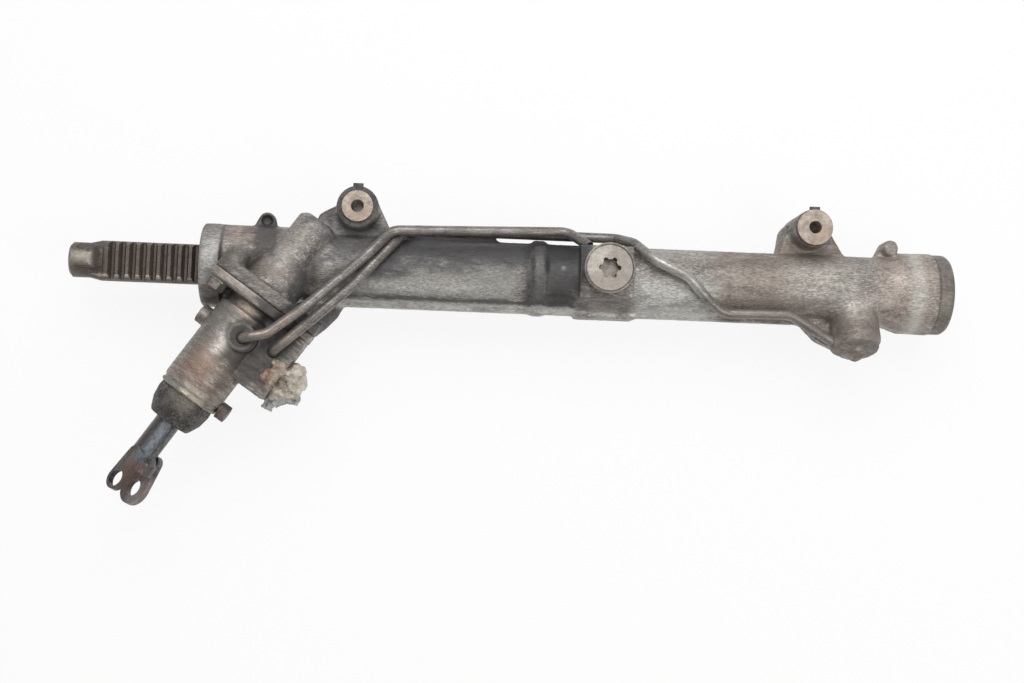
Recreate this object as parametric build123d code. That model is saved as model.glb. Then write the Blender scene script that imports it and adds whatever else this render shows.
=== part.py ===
from build123d import *
from math import acos, atan, cos, pi, radians, sin, tan
import os

# A hydraulic rack-and-pinion steering gear, lying on its back.
# X runs along the rack, Y towards the mounting eyes, Z out of the toothed face.
# The origin is the middle of the left mounting eye. Millimetres.

os.makedirs("parts", exist_ok=True)

# ---- driving dimensions: rack bar ----
RACK_Y = -48.0
BAR_R = 16.0
BAR_END_R = 13.9
BAR_LEFT = -225.0
BAR_RIGHT = 447.0
BAR_LAND = 15.0
TIE_THREAD_R = 7.0
TIE_THREAD_DEPTH = 26.0

# ---- driving dimensions: gear pair ----
MODULE = 2.6
PINION_TEETH = 6
PRESSURE_ANGLE = radians(20.0)
SLANT = radians(34.5)
PROFILE_SHIFT = 0.5
BACKLASH = 0.12
RACK_REFERENCE_Z = 7.9
TOOTH_FIRST = -196.0
TOOTH_GAPS = 21
PINION_X = -53.0
PINION_HALF_FACE = 19.0

# ---- driving dimensions: rack housing ----
TUBE_R = 28.0
COLLAR_R = 33.3
BODY_R = 20.5
GEAR_CASE_R = 27.0
GEAR_CASE_SHIFT = 5.8
COLLAR_LEFT = -121.0
COLLAR_RIGHT = 478.0
COLLAR_MOUTH_R = 27.0
COLLAR_DEPTH = 13.0
BELLOWS_BAND = 12.5
TUNNEL_R = 17.6
GLAND_R = 21.0
GLAND_START = 158.0
CYLINDER_R = 23.0
CYLINDER_START = 186.0
CYLINDER_END = 440.0
RUNNING_GAP = 0.05
CLEARANCE = 0.3

# ---- driving dimensions: mounting eyes ----
SCREW_BOSSES = ((-72.3, -11.0, 6.9), (430.8, -12.4, 6.4))
EYE_X = (0.0, 364.0)
EYE_Y = (0.0, -1.0)
EYE_HALF = 25.0
EYE_R = (16.8, 15.2)
BUSH_R = 12.8
SLEEVE_HALF = 30.0
SLEEVE_R = 8.0
SLEEVE_HOLE_R = 5.1
FACE_R = (12.2, 14.2)
FACE_T = 2.5

# ---- driving dimensions along the pinion axis (S runs out along the input shaft) ----
TOWER_S = -43.0
TOWER_R = 17.0
FLANGE_S = 33.0
FLANGE_T = 8.0
VALVE_END_S = 128.0
VALVE_R = 25.0
NECK_R = 21.3
VALVE_BORE_R = 19.0
RING_PLACES = (58.0, 70.0, 82.0, 94.0)
ROTOR_R = 11.0
ROTOR_S = 50.4
SHAFT_R = 10.0
FORK_S = 187.0
FORK_CROTCH_S = 196.0
FORK_BORE_S = 209.5
FORK_BORE_R = 7.0
FORK_EAR_R = (9.2, 13.5)
FORK_EAR_IN = 7.5
FORK_EAR_OUT = 12.5
FORK_TURN = -48.0
FORK_OFFSET = 3.5
TORSION_R = 3.0
TORSION_END_R = 3.6

# ---- driving dimensions: fasteners, ports and pipes ----
BOLT_PLACES = ((-32.0, 20.0), (40.0, -16.0))
BOLT_R = 4.0
BOLT_HEAD_R = 6.5
FLANGE_LOBES = ((0, 0, 24), (-32, 20, 9.5), (8, 21, 8.5), (42, 4, 8), (40, -16, 9.5))
PORT_BLOCK = (8.0, 50.0, -7.0, 15.0, 40.0, 96.0)
PORT_1 = (10.0, 66.5)
PORT_2 = (34.0, 61.0)
FEED_PORT_S = 72.0
FEED_PORT_Z = 4.0
PORT_R = 8.0
PLUG_X = 198.4
PLUG_Y = -42.6
PIPE_R = 4.0
PIPE_WALL = 0.9

TRANSVERSE_MODULE = MODULE / cos(SLANT)
PINION_R = PINION_TEETH * TRANSVERSE_MODULE / 2
PINION_Z = RACK_REFERENCE_Z + PROFILE_SHIFT * MODULE + PINION_R
PITCH = pi * MODULE
RACK_TIP_Z = RACK_REFERENCE_Z + 0.9 * MODULE

# Two working frames. RACK has local Z along the rack axis, from X = 0.
# PIN has local Z out along the input shaft, local X across it and local Y along world Z.
RACK = Location(Plane(origin=(0, RACK_Y, 0), x_dir=(0, 1, 0), z_dir=(1, 0, 0)))
PIN = Location(Plane(origin=(PINION_X, RACK_Y, PINION_Z),
                     x_dir=(cos(SLANT), -sin(SLANT), 0), z_dir=(-sin(SLANT), -cos(SLANT), 0)))
YOKE = Location(Plane(origin=(PINION_X, RACK_Y, 0), x_dir=(1, 0, 0), z_dir=(0, 0, -1)))


def turned(*corners):
    """Solid of revolution about Z through (radius, height) corners."""
    outline = Polyline(*[(radius, 0, height) for radius, height in corners], close=True)
    return revolve(make_face(outline), axis=Axis.Z)


def rod(radius, low, high, x=0.0, y=0.0):
    """Cylinder along Z between two heights."""
    return Pos(x, y, (low + high) / 2) * Cylinder(radius, high - low)


def ring(outer, inner, low, high):
    return rod(outer, low, high) - rod(inner, low - 1, high + 1)


def block(x0, x1, y0, y1, z0, z1):
    return Pos((x0 + x1) / 2, (y0 + y1) / 2, (z0 + z1) / 2) * Box(x1 - x0, y1 - y0, z1 - z0)


def hexagon(across, low, high):
    prism = extrude(RegularPolygon(across / 2, 6, major_radius=False), high - low)
    return Pos(0, 0, low) * prism


def hull_plate(circles, low, high):
    """Plate along Z whose outline wraps round circles given as (x, y, radius)."""
    edges = [Pos(x, y) * Edge.make_circle(radius) for x, y, radius in circles]
    return Pos(0, 0, low) * extrude(make_hull(edges), high - low)


def bent_tube(points, radii):
    """Steel pipe along straight runs joined by tangent arcs, open at both ends."""
    path = FilletPolyline(*points, radius=radii)
    section = Plane(origin=path @ 0, z_dir=path % 0) * (Circle(PIPE_R) - Circle(PIPE_R - PIPE_WALL))
    return sweep(section, path=path)


def write(shape, name):
    export_step(shape, f"parts/{name}.step")


# ---- rack bar: forged steel with straight-cut teeth along its flat ----

def rack_bar():
    bar = turned((0, BAR_LEFT), (BAR_END_R - 2, BAR_LEFT), (BAR_END_R, BAR_LEFT + 2),
                 (BAR_END_R, BAR_LEFT + BAR_LAND), (BAR_R, BAR_LEFT + BAR_LAND + 9),
                 (BAR_R, BAR_RIGHT - BAR_LAND - 4), (BAR_END_R, BAR_RIGHT - BAR_LAND),
                 (BAR_END_R, BAR_RIGHT - 2), (BAR_END_R - 2, BAR_RIGHT), (0, BAR_RIGHT))
    bar -= rod(TIE_THREAD_R, BAR_LEFT - 1, BAR_LEFT + TIE_THREAD_DEPTH)
    bar -= rod(TIE_THREAD_R, BAR_RIGHT - TIE_THREAD_DEPTH, BAR_RIGHT + 1)
    bar = RACK * bar
    toothed_end = TOOTH_FIRST + TOOTH_GAPS * PITCH
    bar -= block(TOOTH_FIRST - 2, toothed_end, RACK_Y - 20, RACK_Y + 20, RACK_TIP_Z, 20)
    # the shallow milled pocket between the left land and the first tooth
    bar -= Pos(BAR_LEFT + 19, RACK_Y, BAR_R + 8.0) * Rot(90, 0, 0) * Cylinder(11, 40)
    # one gap between teeth: half a pitch wide on the reference plane
    root = RACK_REFERENCE_Z - 1.25 * MODULE
    top = RACK_TIP_Z + 1
    low_half = PITCH / 4 - (RACK_REFERENCE_Z - root) * tan(PRESSURE_ANGLE)
    high_half = PITCH / 4 + (top - RACK_REFERENCE_Z) * tan(PRESSURE_ANGLE)
    outline = Polyline((-low_half, 0, root), (low_half, 0, root), (high_half, 0, top),
                       (-high_half, 0, top), close=True)
    gap = extrude(make_face(outline), amount=20, both=True)
    first = TOOTH_FIRST + (PINION_X - TOOTH_FIRST) % PITCH
    return bar - [Pos(first + PITCH * i, RACK_Y, 0) * gap for i in range(TOOTH_GAPS - 1)]


# ---- pinion: six helical teeth on the steel shaft, with its journals ----

def pinion_section():
    """Transverse section of the teeth, one tooth centred on -Y, towards the rack."""
    transverse_angle = atan(tan(PRESSURE_ANGLE) / cos(SLANT))
    base_r = PINION_R * cos(transverse_angle)
    tip_r = PINION_R + MODULE * (1 + PROFILE_SHIFT) - 0.8
    root_r = PINION_R - MODULE * (1.25 - PROFILE_SHIFT)
    thickness = TRANSVERSE_MODULE * pi / 2 + 2 * PROFILE_SHIFT * MODULE * tan(transverse_angle)
    half_at_pitch = (thickness - BACKLASH) / (2 * PINION_R)

    def half_angle(radius):
        angle = acos(min(1.0, base_r / radius))
        return half_at_pitch + tan(transverse_angle) - transverse_angle - tan(angle) + angle

    def polar(radius, angle):
        return (radius * sin(angle), -radius * cos(angle))

    radii = [base_r + (tip_r - base_r) * step / 4 for step in range(5)]
    edges = []
    for tooth in range(PINION_TEETH):
        middle = tooth * 2 * pi / PINION_TEETH
        rising = [polar(radius, middle - half_angle(radius)) for radius in radii]
        falling = [polar(radius, middle + half_angle(radius)) for radius in reversed(radii)]
        foot = polar(root_r, middle - half_angle(base_r))
        heel = polar(root_r, middle + half_angle(base_r))
        next_foot = polar(root_r, middle + 2 * pi / PINION_TEETH - half_angle(base_r))
        edges += [Line(foot, rising[0]), Spline(*rising), Line(rising[-1], falling[0]),
                  Spline(*falling), Line(falling[-1], heel), Line(heel, next_foot)]
    return make_face(edges)


def pinion_teeth():
    lead = tan(SLANT) / PINION_R
    half_twist = lead * PINION_HALF_FACE * 180 / pi
    section = Rot(0, 0, -half_twist) * pinion_section()
    section = (Pos(0, 0, -PINION_HALF_FACE) * section).face()
    return Solid.extrude_linear_with_rotation(section, (0, 0, -PINION_HALF_FACE),
                                              (0, 0, 2 * PINION_HALF_FACE), 2 * half_twist)


def pinion():
    low, high = -PINION_HALF_FACE, PINION_HALF_FACE
    shaft = turned((0, -37), (4, -37), (5, -36), (5, -23), (7.2, -22), (7.2, low), (7.2, high),
                   (11, high + 3), (11, 50), (0, 50))
    shaft = shaft + pinion_teeth()
    shaft -= rod(TORSION_END_R + 0.02, high + 2, 51)
    shaft -= rod(1.5, 0, 30).moved(Location((0, 0, 47), (90, 0, 0)))
    return PIN * shaft


# ---- bearings and seals round the pinion ----

def ball_bearing():
    """Deep-groove bearing 10 x 26 x 8 at the lower end: inner race, outer race, balls, cage."""
    low, high = -31.0, -23.0
    middle, pitch_r, ball_r = -27.0, 9.0, 2.4
    groove = Pos(0, 0, middle) * Torus(pitch_r, ball_r + RUNNING_GAP)
    inner = ring(7.3, 5.0, low, high) - groove
    outer = ring(13.0, 10.7, low, high) - groove
    balls = [Rot(0, 0, 45 * i) * Pos(pitch_r, 0, middle) * Sphere(ball_r) for i in range(8)]
    pockets = [Rot(0, 0, 45 * i) * Pos(pitch_r, 0, middle) * Rot(0, 90, 0) * Cylinder(ball_r + 0.1, 4)
               for i in range(8)]
    cage = ring(9.9, 8.1, middle - 3.3, middle + 3.3) - pockets
    return PIN * inner, PIN * outer, PIN * Compound(balls), PIN * cage


def pinion_small_parts():
    nut = hexagon(16, -36, -31) - rod(5, -38, -30)
    cap = turned((0, -43), (12, -43), (13, -42), (13, -38.5), (11.5, -38.5), (11.5, -41.4), (0, -41.4))
    bearing = ring(13.8, 11 + RUNNING_GAP, 24.5, 32)
    seal = ring(15, 11 + RUNNING_GAP, 34.2, 40)
    return PIN * nut, PIN * cap, PIN * bearing, PIN * seal


# ---- rotary valve: sleeve, its rings, rotor and torsion bar ----

def valve_sleeve():
    sleeve = ring(18.7, ROTOR_R + RUNNING_GAP, 43, 99)
    sleeve -= rod(11.0, 42, 50)
    sleeve -= [ring(20, 17.2, place - 1.3, place + 1.3) for place in RING_PLACES]
    for low, high in zip(RING_PLACES, RING_PLACES[1:]):
        sleeve -= ring(20, 17.6, low + 3, high - 3)
        ports = [Rot(0, 0, 60 * i) * Pos(14, 0, (low + high) / 2) * Rot(0, 90, 0) * Cylinder(1.6, 12)
                 for i in range(6)]
        sleeve -= ports
    sleeve -= rod(1.5, 0, 30).moved(Location((0, 0, 47), (90, 0, 0)))
    return PIN * sleeve


def sleeve_rings():
    rings = [ring(VALVE_BORE_R - RUNNING_GAP, 17.2, place - 1.2, place + 1.2) for place in RING_PLACES]
    return PIN * Compound(rings)


def sleeve_pin():
    pin = rod(1.5, 6, 18.2).moved(Location((0, 0, 47), (90, 0, 0)))
    return PIN * pin


def input_shaft():
    """Valve rotor with six control slots, the input shaft and the joint fork in one forging."""
    shaft = turned((0, ROTOR_S), (ROTOR_R, ROTOR_S), (ROTOR_R, 101), (SHAFT_R, 102), (SHAFT_R, FORK_S),
                   (0, FORK_S))
    slots = [Rot(0, 0, 60 * i + 30) * block(9.6, 12, -1.4, 1.4, 56, 96) for i in range(6)]
    shaft -= slots
    shaft += joint_fork()
    shaft -= rod(4.2, ROTOR_S - 1, 160)
    shaft -= rod(TORSION_END_R, 159, 176)
    shaft -= Pos(0, 0, 168) * Rot(90, 0, 0) * Cylinder(2, 30)
    return PIN * shaft


def joint_fork():
    """Universal-joint fork: a hub and two bored ears, turned about the shaft axis."""
    hub = turned((0, FORK_S - 6), (SHAFT_R - 4, FORK_S - 6), (12, FORK_S), (12.5, FORK_CROTCH_S),
                 (0, FORK_CROTCH_S))
    ears = []
    for side, radius in zip((-1, 1), FORK_EAR_R):
        plate = hull_plate([(FORK_BORE_S, 0, radius), (FORK_S, 0, 7.5)], FORK_EAR_IN, FORK_EAR_OUT)
        # the plate's Z becomes the pin direction and its X the shaft direction
        frame = Plane(origin=(0, 0, 0), x_dir=(0, 0, 1), z_dir=(side, 0, 0))
        ears.append(Location(frame) * plate)
    bore = Pos(0, 0, FORK_BORE_S) * Rot(0, 90, 0) * Cylinder(FORK_BORE_R, 60)
    gap = Pos(0, 0, FORK_CROTCH_S + 20) * Box(2 * FORK_EAR_IN, 60, 40)
    fork = hub + ears - gap - bore
    return Pos(FORK_OFFSET, 0, 0) * Rot(0, 0, FORK_TURN) * fork


def torsion_bar():
    bar = turned((0, 24), (TORSION_END_R, 24), (TORSION_END_R, 46), (TORSION_R, 49), (TORSION_R, 157),
                 (TORSION_END_R, 160), (TORSION_END_R, 176), (0, 176))
    bar -= Pos(0, 0, 168) * Rot(90, 0, 0) * Cylinder(2, 30)
    return PIN * bar


def torsion_bar_pin():
    return PIN * (Pos(0, 0, 168) * Rot(90, 0, 0) * Cylinder(2, 19.6))


def input_small_parts():
    bearing = ring(14.5, SHAFT_R + RUNNING_GAP, 104, 115)
    seal = turned((SHAFT_R + RUNNING_GAP, 117), (16, 117), (16, 124), (14.5, 124), (14.5, 119),
                  (11.2, 119), (11.2, 123), (SHAFT_R + RUNNING_GAP, 123))
    clip = ring(17, 13.6, 124.4, 126)
    cap = turned((22.5, VALVE_END_S), (23, 133), (21.6, 142), (18, 150), (16.5, 152), (SHAFT_R + 0.06, 152),
                 (SHAFT_R + 0.06, 148.5), (15, 148.5), (19, 141), (20.4, 133), (20, VALVE_END_S))
    return PIN * bearing, PIN * seal, PIN * clip, PIN * cap


# ---- valve housing: a machined aluminium barrel with a flange and a port block ----

def valve_housing():
    body = hull_plate(FLANGE_LOBES, FLANGE_S, FLANGE_S + FLANGE_T)
    body += turned((0, FLANGE_S), (NECK_R, FLANGE_S), (NECK_R, 48), (VALVE_R, 50),
                   (VALVE_R, VALVE_END_S - 6), (VALVE_R - 1.5, VALVE_END_S - 5),
                   (VALVE_R - 1.5, VALVE_END_S - 3), (VALVE_R, VALVE_END_S - 2),
                   (VALVE_R - 1, VALVE_END_S), (0, VALVE_END_S))
    x0, x1, y0, y1, s0, s1 = PORT_BLOCK
    port_block = block(x0, x1, y0, y1, s0, s1)
    port_block = fillet(port_block.edges().filter_by(Axis.Y).group_by(Axis.X)[-1], 3)
    body += port_block
    body += Pos(PORT_1[0], 17, PORT_1[1]) * Rot(90, 0, 0) * Cylinder(11, 14)
    body += Pos(-22, -4, 70) * Rot(0, 90, 0) * Cylinder(8, 22)
    body -= rod(15, FLANGE_S - 1, 43) + rod(VALVE_BORE_R, 42.5, 101)
    body -= rod(SHAFT_R + 1.5, 100, VALVE_END_S + 1)
    body -= rod(14.5, 104, VALVE_END_S + 1)
    body -= rod(16, 116.5, VALVE_END_S + 1)
    body -= rod(17, 124.4, 126)
    for x, y in BOLT_PLACES:
        body -= rod(BOLT_R + 0.3, FLANGE_S - 1, 60, x, y)
    for (x, height), top in zip((PORT_1, PORT_2), (29, 16)):
        body -= Pos(x, top - 6, height) * Rot(90, 0, 0) * Cylinder(PIPE_R + RUNNING_GAP, 13)
    body -= Pos(x1 - 8, FEED_PORT_Z, FEED_PORT_S) * Rot(0, 90, 0) * Cylinder(PORT_R, 18)
    body -= Pos(30, -4, 122) * Rot(0, 90, 0) * Cylinder(3.5, 16)
    # relief where the flange comes past the rack tube
    relief = rod(GEAR_CASE_R + CLEARANCE, -112, -50, GEAR_CASE_SHIFT, 0) + rod(COLLAR_R + CLEARANCE, -125, -104)
    return PIN * body - RACK * relief


def port_plug():
    """Small hexagon plug low on the side of the valve housing."""
    head = Rot(0, 90, 0) * (hexagon(12, 25.5, 33) + rod(7, 25.2, 27) + rod(3.5, 22.2, 26))
    return PIN * (Pos(0, -4, 122) * head)


def flange_bolts():
    bolts = []
    seat = FLANGE_S + FLANGE_T
    for x, y in BOLT_PLACES:
        washer = rod(8.2, seat, seat + 1.6, x, y)
        head = Pos(x, y, 0) * hexagon(2 * BOLT_HEAD_R, seat + 1.6, seat + 8)
        bolts.append(washer + head + rod(BOLT_R, FLANGE_S - 16, seat, x, y))
    return PIN * Compound(bolts)


# ---- rack housing: one aluminium casting from collar to collar ----

def rack_tube():
    band = BELLOWS_BAND
    return turned((0, COLLAR_LEFT), (COLLAR_R - 1.5, COLLAR_LEFT), (COLLAR_R, COLLAR_LEFT + 1.5),
                  (COLLAR_R, COLLAR_LEFT + band), (COLLAR_R - 1, COLLAR_LEFT + band + 0.5),
                  (COLLAR_R - 1, COLLAR_LEFT + band + 2), (COLLAR_R, COLLAR_LEFT + band + 2.5),
                  (COLLAR_R, -105), (BODY_R, -104.4), (BODY_R, -60), (29, -30), (TUBE_R, -10), (TUBE_R, 139),
                  (30.6, 141), (30.6, 150), (TUBE_R, 152), (TUBE_R + 0.6, 428), (COLLAR_R - 0.5, 440),
                  (COLLAR_R, COLLAR_RIGHT - band - 1), (COLLAR_R - 0.8, COLLAR_RIGHT - band),
                  (COLLAR_R - 0.8, COLLAR_RIGHT - 3), (COLLAR_R - 3, COLLAR_RIGHT), (0, COLLAR_RIGHT))


def mounting_eye(index, foot_left, foot_right):
    """Barrel for one rubber bush, with a web that spreads down onto the tube."""
    x, y, radius = EYE_X[index], EYE_Y[index], EYE_R[index]
    feet = [(x - foot_left, RACK_Y + 21, 7), (x + foot_right, RACK_Y + 18, 5)]
    web = hull_plate([(x, y, radius)] + feet, -16, 8)
    return rod(radius, -EYE_HALF, EYE_HALF, x, y) + web


def rack_housing():
    body = RACK * rack_tube()
    # the gear housing between the collar and the tower is set off towards the eyes
    body += RACK * rod(GEAR_CASE_R, -110, -45, GEAR_CASE_SHIFT, 0)
    body += (RACK * rod(30.2, -20, 112)) & block(-20, 112, RACK_Y + 20, RACK_Y + 40, -30, 4)
    body += mounting_eye(0, 24, 28) + hull_plate([(-26.5, -7.5, 5.6), (-30, -28, 6), (0, 0, 12)], -14, 6)
    body += mounting_eye(1, 20, 30) + hull_plate([(353.5, -5, 11), (346, -27, 6), (364, -1, 13)], -14, 6)
    # pinion tower and the flange that carries the valve housing
    tower = turned((0, TOWER_S), (TOWER_R - 4, TOWER_S), (TOWER_R, TOWER_S + 4), (TOWER_R, -10),
                   (23, 6), (24, FLANGE_S), (0, FLANGE_S))
    tower += hull_plate(FLANGE_LOBES, FLANGE_S - 11, FLANGE_S)
    bolt_foot = turned((0, -10), (9, -10), (13.5, 0), (14.5, 9), (12.5, 22), (9.5, FLANGE_S), (0, FLANGE_S))
    tower += Pos(*BOLT_PLACES[1], 0) * bolt_foot
    tower += rod(9, 12, FLANGE_S, *BOLT_PLACES[0])
    body += PIN * tower
    # yoke boss on the back
    body += YOKE * turned((0, 0), (24, 0), (24, 41), (22.5, 43), (0, 43))
    # cast screw bosses beside the tower and beside the right collar
    for x, y, radius in SCREW_BOSSES:
        body += hull_plate([(x, y, radius), (x - 2, RACK_Y + 21, radius + 5)], -6, 6)
        body += rod(radius, -6, 13, x, y)
    # square pad that seats the large plug
    body += block(177, 219, -65, -23, 0, 31)
    body += block(175, 224, RACK_Y - 31, RACK_Y, -12, 12)
    # parting-line rib under the tube
    body += block(-20, 420, -77.2, -70, -3, 9)
    # outer port boss, leaning out of the front of the tube
    port = Location(Plane(origin=(401, RACK_Y, 0), x_dir=(1, 0, 0), z_dir=(0, -0.9, 0.44)))
    body += port * (rod(19.5, 0, 49) + rod(17.5, 48, 55) + rod(7, 54, 60))
    body += hull_plate([(361, -73, 5), (374, -86.5, 4.5), (393, -91, 8)], -2, 14)
    # hollows
    bores = rod(COLLAR_MOUTH_R, COLLAR_LEFT - 1, COLLAR_LEFT + COLLAR_DEPTH)
    bores += rod(TUNNEL_R, COLLAR_LEFT, GLAND_START + 1)
    bores += rod(GLAND_R, GLAND_START, CYLINDER_START + 1)
    bores += rod(CYLINDER_R, CYLINDER_START, CYLINDER_END + 1)
    bores += rod(COLLAR_MOUTH_R, CYLINDER_END, COLLAR_RIGHT + 1)
    bores += rod(CYLINDER_R + 1, 434, 436)
    body -= RACK * bores
    wells = rod(13, -50, FLANGE_S) + rod(13.8, 24.5, FLANGE_S + 1)
    for x, y in BOLT_PLACES:
        wells += rod(BOLT_R, FLANGE_S - 18, FLANGE_S + 1, x, y)
    body -= PIN * wells
    body -= YOKE * rod(19, 0, 44)
    for x, y in zip(EYE_X, EYE_Y):
        body -= rod(BUSH_R, -EYE_HALF - 1, EYE_HALF + 1, x, y)
    for x, y, radius in SCREW_BOSSES:
        body -= rod(radius - 2.6, 1, 14, x, y)
    body -= rod(12, 27, 32, PLUG_X, PLUG_Y)
    body -= [socket(route[-1], route[-2]) for route in (SHORT_ROUTE, LONG_ROUTE)]
    return body


# ---- pieces inside the rack tube ----

def piston():
    body = ring(22.6, BAR_R, 193, 209) - ring(24, 20.4, 199, 203)
    return RACK * body, RACK * ring(CYLINDER_R - RUNNING_GAP, 20.4, 199.1, 202.9)


def rod_glands():
    inner_guide = ring(GLAND_R, BAR_R + RUNNING_GAP, GLAND_START, 168)
    inner_seal = turned((BAR_R + RUNNING_GAP, 168.5), (GLAND_R, 168.5), (GLAND_R, 177), (19.5, 177),
                        (19.5, 171), (17.5, 171), (17.5, 176), (BAR_R + RUNNING_GAP, 176))
    inner_ring = ring(GLAND_R, 17, 177.5, 182)
    outer_guide = ring(CYLINDER_R, BAR_R + RUNNING_GAP, 418, 433.6)
    outer_seal = turned((BAR_R + RUNNING_GAP, 409.5), (CYLINDER_R, 408.5), (CYLINDER_R, 417.5),
                        (BAR_R + RUNNING_GAP, 417.5), (BAR_R + RUNNING_GAP, 414), (18, 412))
    clip = ring(CYLINDER_R + 1, 20.5, 434, 436)
    return [RACK * piece for piece in (inner_guide, inner_seal, inner_ring, outer_guide, outer_seal, clip)]


# ---- yoke that holds the bar against the pinion ----

def yoke_group():
    saddle = Rot(0, 90, 0) * Cylinder(17.0, 60)
    yoke = rod(18.95, 6, 33) - saddle
    yoke -= rod(12, 29, 34)
    shell = Rot(0, 90, 0) * (Cylinder(17.0, 30) - Cylinder(BAR_R + RUNNING_GAP, 40))
    liner = shell & block(-15, 15, -12, 12, 8, 20)
    spring = turned((5, 29.2), (6.5, 29.2), (11.5, 34.8), (10, 34.8))
    plug = rod(19, 35, 46) - hexagon(17, 40, 47)
    locknut = hexagon(52, 43, 49) - rod(19, 40, 50)
    return [YOKE * piece for piece in (yoke, liner, spring, plug, locknut)]


# ---- mounting bushes ----

def mount_bush(index):
    face_r, eye_r = FACE_R[index], EYE_R[index]
    place = Pos(EYE_X[index], EYE_Y[index], 0)
    sleeve = turned((SLEEVE_HOLE_R, -SLEEVE_HALF), (SLEEVE_R, -SLEEVE_HALF), (SLEEVE_R, SLEEVE_HALF - FACE_T),
                    (face_r, SLEEVE_HALF - FACE_T), (face_r, SLEEVE_HALF), (SLEEVE_HOLE_R, SLEEVE_HALF))
    rubber = ring(BUSH_R - 1.2, SLEEVE_R, -EYE_HALF, EYE_HALF)
    lip_top = SLEEVE_HALF - FACE_T
    lip = rod(eye_r - 0.6, EYE_HALF, lip_top) + block(-4, 4, 8, eye_r + 1.6, EYE_HALF, lip_top)
    rubber += lip - rod(SLEEVE_R, EYE_HALF - 1, SLEEVE_HALF)
    shell = ring(BUSH_R, BUSH_R - 1.2, -EYE_HALF, EYE_HALF)
    return place * sleeve, place * rubber, place * shell


# ---- hydraulic pipes between the valve housing and the cylinder ----

def port_point(port, height):
    """World point above a port of the valve housing, at a height on Z."""
    x = PINION_X + port[0] * cos(SLANT) - port[1] * sin(SLANT)
    y = RACK_Y - port[0] * sin(SLANT) - port[1] * cos(SLANT)
    return (x, y, height)


SHORT_ROUTE = [port_point(PORT_1, 38), port_point(PORT_1, 51), (-64, -105, 49), (-38, -84.5, 46), (-8, -56.5, 41),
               (12, -37, 39.5), (27.5, -18.1, 29), (168, -10.3, 8), (184, -23.5, 25)]
SHORT_RADII = [8, 20, 60, 60, 20, 16, 12]
LONG_ROUTE = [port_point(PORT_2, 26), port_point(PORT_2, 41), (-29, -90.5, 41), (0, -63, 38), (13.2, -47.7, 36.5),
              (28.2, -29.5, 28), (35.4, -19, 18.4), (43, -13.5, 3.5), (52, -12.6, -1), (208, -12.6, -1),
              (220, -18.5, 19), (236, -34, 35.5), (262, -46, 36.5), (280, -64, 31), (293, -72.5, 25),
              (346, -71.5, 25), (386, -94, 22)]
LONG_RADII = [8, 40, 60, 40, 20, 16, 14, 14, 10, 14, 22, 16, 16, 16, 18]


def socket(end, inside):
    """Drilled socket for the last stretch of a pipe."""
    axis = Vector(*inside) - Vector(*end)
    plane = Plane(origin=end, z_dir=axis)
    return Solid.make_cylinder(PIPE_R + RUNNING_GAP, 14, plane)


# ---- the large plug over the cylinder wall ----

def star_recess(radius, depth):
    """Six-lobed drive recess cut downwards from Z = 0."""
    lobes = [Rot(0, 0, 60 * i) * Pos(radius * 0.8, 0, 0) * Cylinder(radius * 0.24, 2 * depth) for i in range(6)]
    return Cylinder(radius * 0.78, 2 * depth) + lobes


def cylinder_plug():
    head = turned((0, 31), (16.5, 31), (17.5, 33), (18.4, 44), (19.8, 44.5), (19.8, 47), (18.6, 47.6),
                  (18.0, 47), (0, 47))
    head += rod(11.9, 27.5, 31)
    head -= Pos(0, 0, 47) * star_recess(8.5, 8)
    return Pos(PLUG_X, PLUG_Y, 0) * head


# ---- film stuffed into the open feed port for transport ----

def port_stopper():
    """Wad of plastic film stuffed into the open feed port, with its stem in the port."""
    lumps = [(-45.5, -134, 10.5), (-45.5, -146, 7.5), (-58.5, -155.5, 4.5), (-51, -123.5, 7)]
    wad = hull_plate(lumps, 12, 27)
    wad += hull_plate([(x, y, 0.7 * radius) for x, y, radius in lumps], 8, 31)
    # the wad stays outside the face of the port block, and only the stem goes in
    wad -= PIN * block(-60, PORT_BLOCK[1] + CLEARANCE, -60, 60, 0, 140)
    stem = Pos(PORT_BLOCK[1] - 2, FEED_PORT_Z, FEED_PORT_S) * Rot(0, 90, 0) * Cylinder(PORT_R - 0.5, 16)
    return wad + PIN * stem


NODES = {
    "rack_housing": rack_housing(),
    "rack_bar": rack_bar(),
    "pinion": pinion(),
    "valve_sleeve": valve_sleeve(),
    "sleeve_rings": sleeve_rings(),
    "sleeve_pin": sleeve_pin(),
    "input_shaft": input_shaft(),
    "torsion_bar": torsion_bar(),
    "torsion_bar_pin": torsion_bar_pin(),
    "valve_housing": valve_housing(),
    "port_plug": port_plug(),
    "flange_bolts": flange_bolts(),
    "short_pipe": bent_tube(SHORT_ROUTE, SHORT_RADII),
    "long_pipe": bent_tube(LONG_ROUTE, LONG_RADII),
    "cylinder_plug": cylinder_plug(),
    "port_stopper": port_stopper(),
}
NODES.update(zip(("bearing_inner_race", "bearing_outer_race", "bearing_balls", "bearing_cage"), ball_bearing()))
NODES.update(zip(("pinion_nut", "pinion_end_cap", "pinion_upper_bearing", "pinion_seal"), pinion_small_parts()))
NODES.update(zip(("input_bearing", "input_seal", "input_seal_clip", "dust_cap"), input_small_parts()))
NODES.update(zip(("piston", "piston_ring"), piston()))
NODES.update(zip(("inner_rod_guide", "inner_rod_seal", "inner_seal_ring", "outer_rod_guide", "outer_rod_seal",
                  "outer_guide_clip"), rod_glands()))
NODES.update(zip(("yoke", "yoke_liner", "yoke_spring", "yoke_plug", "yoke_locknut"), yoke_group()))
for side, index in (("left", 0), ("right", 1)):
    NODES.update(zip((f"{side}_bush_sleeve", f"{side}_bush_rubber", f"{side}_bush_shell"), mount_bush(index)))

for name, shape in NODES.items():
    write(shape, name)
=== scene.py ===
import bpy
from math import radians
from mathutils import Matrix, Vector


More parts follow.
